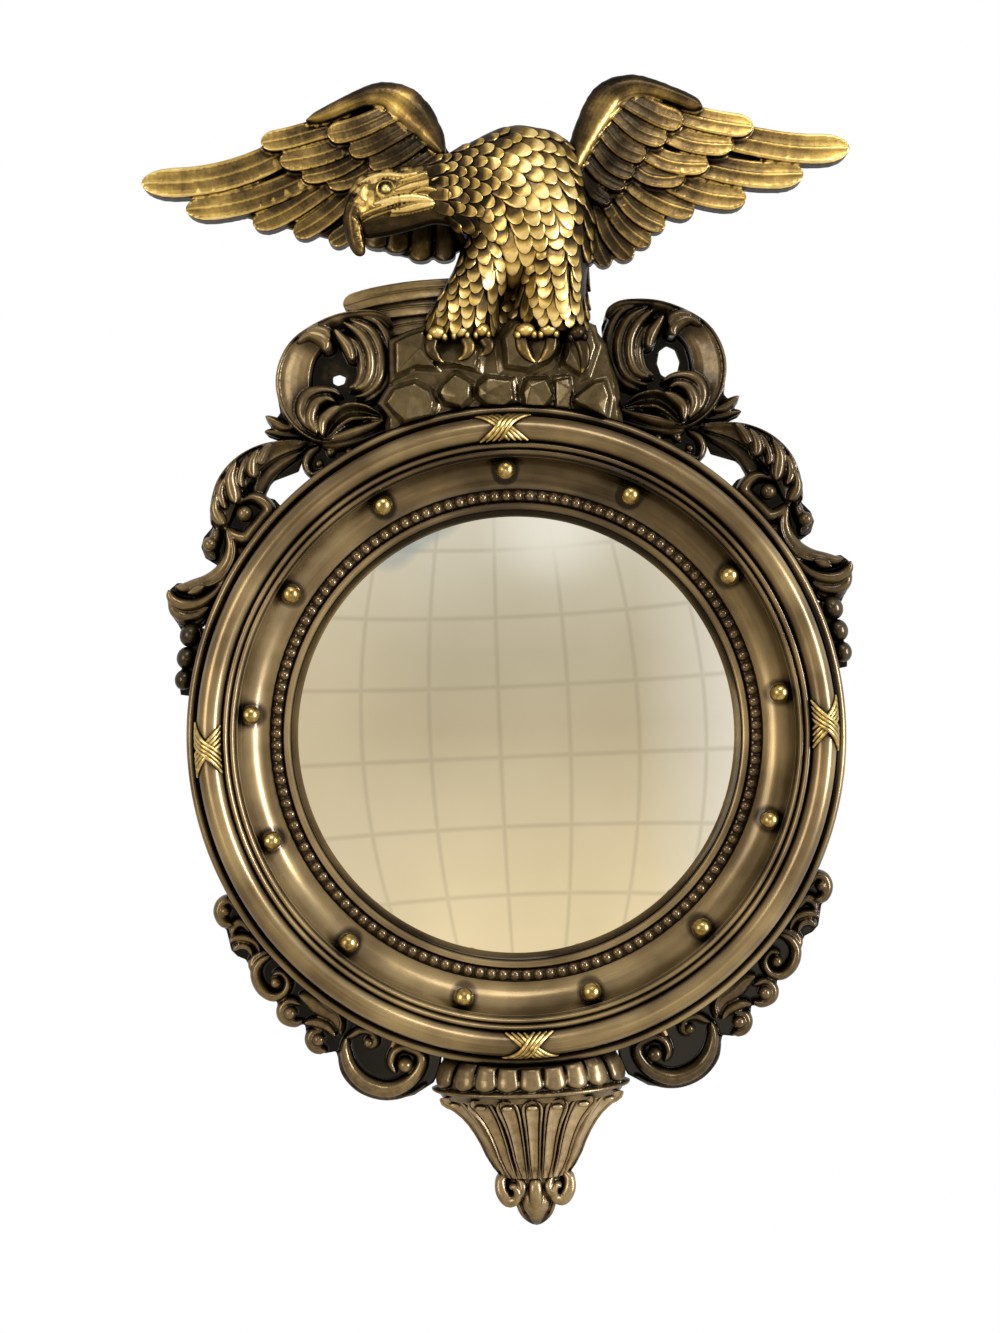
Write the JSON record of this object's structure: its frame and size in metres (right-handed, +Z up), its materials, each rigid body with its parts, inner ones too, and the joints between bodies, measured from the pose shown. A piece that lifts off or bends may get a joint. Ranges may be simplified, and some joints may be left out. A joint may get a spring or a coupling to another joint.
{
  "type": "mirror",
  "caption": "Round convex wall mirror in a turned frame with an eagle crest, leaf scrolls and a pendant below.",
  "frame": {"origin": "on the axis of the round frame, in the plane of the wall that the bumpers touch", "axes": "+Z up, +X to the viewer's right, the mirror looks along -Y"},
  "size_m": [0.3898, 0.062, 0.6369],
  "materials": {
    "bronzed_wood": "satin bronzed finish with gold rubbed on the ridges",
    "gilt_wood": "antique gilding over dark brown",
    "dark_beading": "dark bronzed, shiny",
    "gilt_brass": "polished",
    "convex_mirror": "silvered",
    "felt": "matt",
    "hardboard": "matt",
    "plated_steel": "zinc plated",
    "dowel_wood": "raw"
  },
  "bodies": {
    "mirror": {"backing_board": "hardboard", "bead_drop_left": "dark_beading", "bead_drop_right": "dark_beading", "bead_strip": "dark_beading", "cavetto_ball_01": "gilt_brass", "cavetto_ball_02": "gilt_brass", "cavetto_ball_03": "gilt_brass", "cavetto_ball_04": "gilt_brass", "cavetto_ball_05": "gilt_brass", "cavetto_ball_06": "gilt_brass", "cavetto_ball_07": "gilt_brass", "cavetto_ball_08": "gilt_brass", "cavetto_ball_09": "gilt_brass", "cavetto_ball_10": "gilt_brass", "cavetto_ball_11": "gilt_brass", "cavetto_ball_12": "gilt_brass", "cavetto_ball_13": "gilt_brass", "clip_screws": "plated_steel", "crest_dowels": "dowel_wood", "crest_scroll_left": "bronzed_wood", "crest_scroll_right": "bronzed_wood", "eagle_body": "gilt_wood", "eagle_head": "gilt_wood", "eagle_tail": "gilt_wood", "finial": "bronzed_wood", "fluted_bell": "bronzed_wood", "frame_ring": "bronzed_wood", "gadroon_cup": "bronzed_wood", "glass_bedding": "felt", "hanger_plate_left": "plated_steel", "hanger_plate_right": "plated_steel", "hanger_screws": "plated_steel", "left_foot": "gilt_wood", "left_wing": "gilt_wood", "lower_scroll_left": "bronzed_wood", "lower_scroll_right": "bronzed_wood", "mirror_glass": "convex_mirror", "neck_dowel": "dowel_wood", "pendant_dowel": "dowel_wood", "retaining_clips": "plated_steel", "right_foot": "gilt_wood", "right_wing": "gilt_wood", "rock_plinth": "bronzed_wood", "scroll_pins": "dowel_wood", "side_scroll_left": "bronzed_wood", "side_scroll_right": "bronzed_wood", "tie_bottom": "gilt_brass", "tie_left": "gilt_brass", "tie_right": "gilt_brass", "tie_top": "gilt_brass", "wall_bumpers": "felt", "wing_dowels": "dowel_wood"},
    "left_hanging_ring": {"hanging_ring_left": "plated_steel"},
    "right_hanging_ring": {"hanging_ring_right": "plated_steel"}
  },
  "joints": [
    {"name": "left_ring_hinge", "type": "hinge", "parent": "mirror", "child": "left_hanging_ring", "pos_m": [-0.13476, -0.0026, 0.0842], "axis": [1, 0, 0], "range_deg": [0, 180]},
    {"name": "right_ring_hinge", "type": "hinge", "parent": "mirror", "child": "right_hanging_ring", "pos_m": [0.13476, -0.0026, 0.0842], "axis": [1, 0, 0], "range_deg": [0, 180]}
  ]
}
